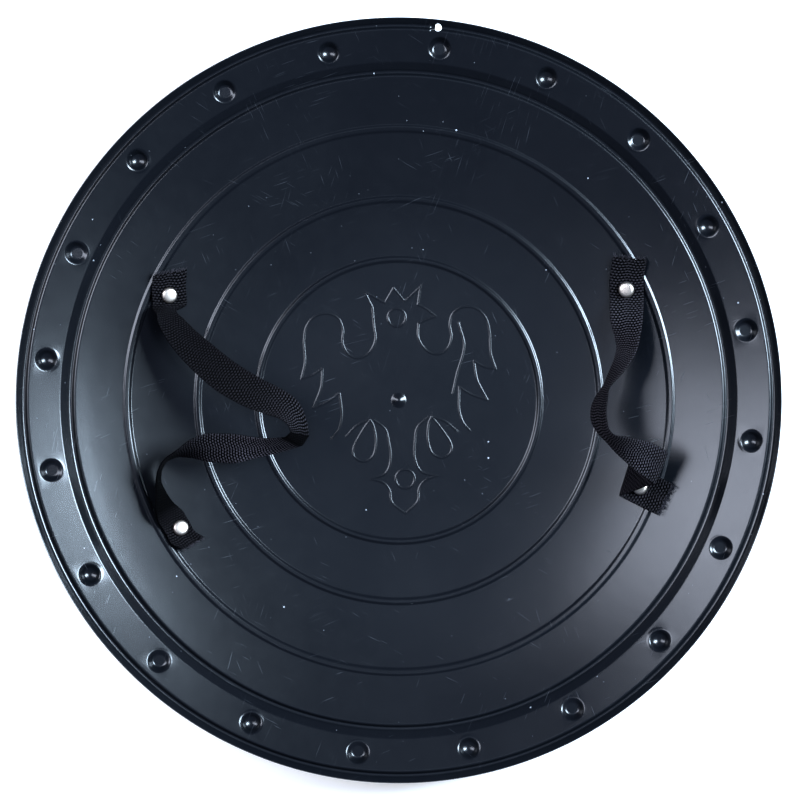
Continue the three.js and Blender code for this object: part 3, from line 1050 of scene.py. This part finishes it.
def formed_plastic(scratches, dust, mottle):
    """Black plastic with a soft gloss, faint scratches, dust and handling marks."""
    material, w, shader = new_material("formed black plastic")
    place = w.node("ShaderNodeTexCoord").outputs["Object"]
    uneven = use_effect(w, mottle, {"Place": place, "Scale": 18.0})["Value"]
    scratch = use_effect(w, scratches, {"Place": place, **SCRATCHES})["Mask"]
    speck = use_effect(w, dust, {"Place": place, **SPECKS})["Mask"]
    lint = use_effect(w, dust, {"Place": place, **LINT})["Mask"]
    colour = w.blend(w.spread(uneven, -0.5, 0.5), PLASTIC_DEEP, PLASTIC_PALE)
    colour = w.blend(w.math("MULTIPLY", scratch, SCRATCH_SHOWS), colour, SCRATCH_GREY)
    colour = w.blend(w.math("MULTIPLY", speck, SPECK_SHOWS), colour, SPECK_WHITE)
    colour = w.blend(w.math("MULTIPLY", lint, LINT_SHOWS), colour, LINT_GREY)
    rough = w.spread(uneven, -0.6, 0.6, *PLASTIC_ROUGHNESS)
    rough = w.math("ADD", rough, w.math("MULTIPLY", scratch, 0.15))
    rough = w.math("ADD", rough, w.math("MULTIPLY", speck, 0.4), clamp=True)
    w.feed(shader.inputs["Base Color"], colour)
    w.feed(shader.inputs["Roughness"], rough)
    height = w.math("SUBTRACT", w.math("MULTIPLY", uneven, 0.10), w.math("MULTIPLY", scratch, 0.02))
    bumps = w.node("ShaderNodeBump", {"Height": height, "Strength": 0.35, "Distance": 0.001})
    w.feed(shader.inputs["Normal"], bumps.outputs[0])
    shader.inputs["IOR"].default_value = 1.5
    return material


def webbing_weave(dust, mottle, name="black webbing", woven=True):
    """Ribbed black weave, painted dark between its ribs as shade and pale on their crests with dust and
    painted sheen, or loose yarn of it.
    """
    material, w, shader = new_material(name)
    place = w.node("ShaderNodeTexCoord").outputs["Object"]
    uneven = use_effect(w, mottle, {"Place": place, "Scale": 60.0})["Value"]
    shade = w.spread(uneven, -0.6, 0.6, 0.8, 1.2)
    if woven:
        crest = w.node("ShaderNodeAttribute", attribute_name="crest").outputs["Fac"]
        strand = w.node("ShaderNodeAttribute", attribute_name="strand").outputs["Vector"]
        # How much dust and painted light and shade each place along the strap gets.
        dust_and_light = w.node("ShaderNodeAttribute", attribute_name="dust_and_light").outputs["Fac"]
        stretched = w.node("ShaderNodeMapping", {"Vector": strand, "Scale": (5200.0, 700.0, 1.0)})
        fuzz = w.node(
            "ShaderNodeTexNoise", {"Vector": stretched.outputs[0], "Scale": 1.0, "Detail": 2.0}
        ).outputs[0]
        crest = w.math("MULTIPLY", crest, w.spread(fuzz, 0.3, 0.7, 0.8, 1.2))
    else:
        crest = w.spread(uneven, -0.5, 0.5, 0.5, 1.0)
        fuzz = uneven
        dust_and_light = 1.0
    # The crests are painted pale with dust and painted sheen; the hollows between them stay black as painted
    # shade.
    lit = w.spread(crest, 0.5, 0.8, 0, CREST_DUST_AND_SHEEN_SHOWS)
    colour = w.blend(w.math("MULTIPLY", lit, w.math("MULTIPLY", dust_and_light, shade)), YARN_BLACK, YARN_DUST_AND_SHEEN)
    speck = use_effect(w, dust, {"Place": place, **YARN_SPECKS})["Mask"]
    colour = w.blend(w.math("MULTIPLY", speck, YARN_SPECK_SHOWS), colour, YARN_SPECK)
    w.feed(shader.inputs["Base Color"], colour)
    w.feed(shader.inputs["Roughness"], w.spread(crest, 0.0, 1.0, *reversed(YARN_ROUGHNESS)))
    bumps = w.node("ShaderNodeBump", {"Height": fuzz, "Strength": 0.5, "Distance": 0.0002})
    w.feed(shader.inputs["Normal"], bumps.outputs[0])
    shader.inputs["Specular IOR Level"].default_value = 0.02
    return material


def nickel_plate(mottle):
    """Satin nickel plate with a faint unevenness."""
    material, w, shader = new_material("nickel plate")
    place = w.node("ShaderNodeTexCoord").outputs["Object"]
    uneven = use_effect(w, mottle, {"Place": place, "Scale": 260.0})["Value"]
    colour = w.blend(w.spread(uneven, -0.6, 0.6), NICKEL_DULL, NICKEL_BRIGHT)
    w.feed(shader.inputs["Base Color"], colour)
    w.feed(shader.inputs["Roughness"], w.spread(uneven, -0.6, 0.6, *NICKEL_ROUGHNESS))
    bumps = w.node("ShaderNodeBump", {"Height": uneven, "Strength": 0.12, "Distance": 0.0003})
    w.feed(shader.inputs["Normal"], bumps.outputs[0])
    shader.inputs["Metallic"].default_value = 1.0
    return material


# ---------------------------------------------------------------- the studio

CAMERA_HEIGHT = 2.0
CAMERA_LENS = 153.25
CAMERA_SENSOR = 36.0
CAMERA_ASIDE = (0.0007, -0.001)
FLOOR_REACH = 12.0
FLOOR_BELOW = 0.0003
FLOOR_WHITE = (0.86, 0.86, 0.86, 1)
FLOOR_ROUGHNESS = 0.9
FLOOR_GLOW = 0.55
SKY_COLOUR = (0.48, 0.62, 1.0, 1)
SKY_STRENGTH = 0.2


def add_camera():
    data = bpy.data.cameras.new("camera")
    data.lens = CAMERA_LENS
    data.sensor_width = CAMERA_SENSOR
    camera = bpy.data.objects.new("camera", data)
    camera.location = (*CAMERA_ASIDE, CAMERA_HEIGHT)
    bpy.context.scene.collection.objects.link(camera)
    bpy.context.scene.camera = camera


def add_soft_box(name, azimuth, from_above, size, power, colour, distance=1.8):
    """A lamp that faces the shield, at an azimuth from +X and so many degrees down from overhead."""
    data = bpy.data.lights.new(name, "AREA")
    data.shape = "RECTANGLE"
    data.size, data.size_y = size
    data.energy = power
    data.color = colour
    light = bpy.data.objects.new(name, data)
    a = math.radians(azimuth)
    lean = math.radians(from_above)
    away = Vector((math.cos(a) * math.sin(lean), math.sin(a) * math.sin(lean), math.cos(lean)))
    light.location = away * distance
    light.rotation_euler = away.to_track_quat("Z", "Y").to_euler()
    bpy.context.scene.collection.objects.link(light)


def add_floor():
    mesh = bpy.data.meshes.new("floor")
    reach = FLOOR_REACH
    corners = [(-reach, -reach, 0), (reach, -reach, 0), (reach, reach, 0), (-reach, reach, 0)]
    mesh.from_pydata(corners, [], [(0, 1, 2, 3)])
    material, _, shader = new_material("white floor")
    shader.inputs["Base Color"].default_value = FLOOR_WHITE
    shader.inputs["Roughness"].default_value = FLOOR_ROUGHNESS
    shader.inputs["Emission Color"].default_value = (1, 1, 1, 1)
    shader.inputs["Emission Strength"].default_value = FLOOR_GLOW
    mesh.materials.append(material)
    floor = bpy.data.objects.new("floor", mesh)
    floor.location.z = -FLOOR_BELOW
    bpy.context.scene.collection.objects.link(floor)


def add_world():
    world = bpy.data.worlds.new("studio")
    world.use_nodes = True
    background = world.node_tree.nodes["Background"]
    background.inputs["Color"].default_value = SKY_COLOUR
    background.inputs["Strength"].default_value = SKY_STRENGTH
    bpy.context.scene.world = world
    bpy.context.scene.view_settings.view_transform = "Standard"


# ---------------------------------------------------------------- everything together

add_camera()
scratch_marks, dust_specks, slow_mottle = make_scratches(), make_dust(), make_mottle()
plastic = formed_plastic(scratch_marks, dust_specks, slow_mottle)
webbing = webbing_weave(dust_specks, slow_mottle)
loose_yarn = webbing_weave(dust_specks, slow_mottle, "loose yarn", woven=False)
nickel = nickel_plate(slow_mottle)

build_shell(plastic)
build_strap("arm_webbing", ARM_STATIONS, ARM_DUST_AND_LIGHT, webbing, "arm_strap")
build_strap("hand_webbing", HAND_STATIONS, HAND_DUST_AND_LIGHT, webbing, "hand_strap")
build_end_fibres("arm_end_fibres", ARM_STATIONS, loose_yarn)
build_end_fibres("hand_end_fibres", HAND_STATIONS, loose_yarn)
build_rivet("arm_cap_rivet_top", ARM_RIVETS[0], nickel, "arm_rivet_top")
build_rivet("arm_cap_rivet_bottom", ARM_RIVETS[1], nickel, "arm_rivet_bottom")
build_rivet("hand_cap_rivet_top", HAND_RIVETS[0], nickel, "hand_rivet_top")
build_rivet("hand_cap_rivet_bottom", HAND_RIVETS[1], nickel, "hand_rivet_bottom")

add_soft_box("left_box", azimuth=162, from_above=42, size=(0.6, 1.6), power=31.5, colour=(0.76, 0.83, 1))
add_soft_box("right_box", azimuth=19, from_above=46, size=(0.65, 1.0), power=118, colour=(0.65, 0.82, 1))
add_soft_box("top_box", 120, 7, size=(1.1, 1.1), power=1.0, colour=(0.45, 0.66, 1), distance=2.4)
add_floor()
add_world()
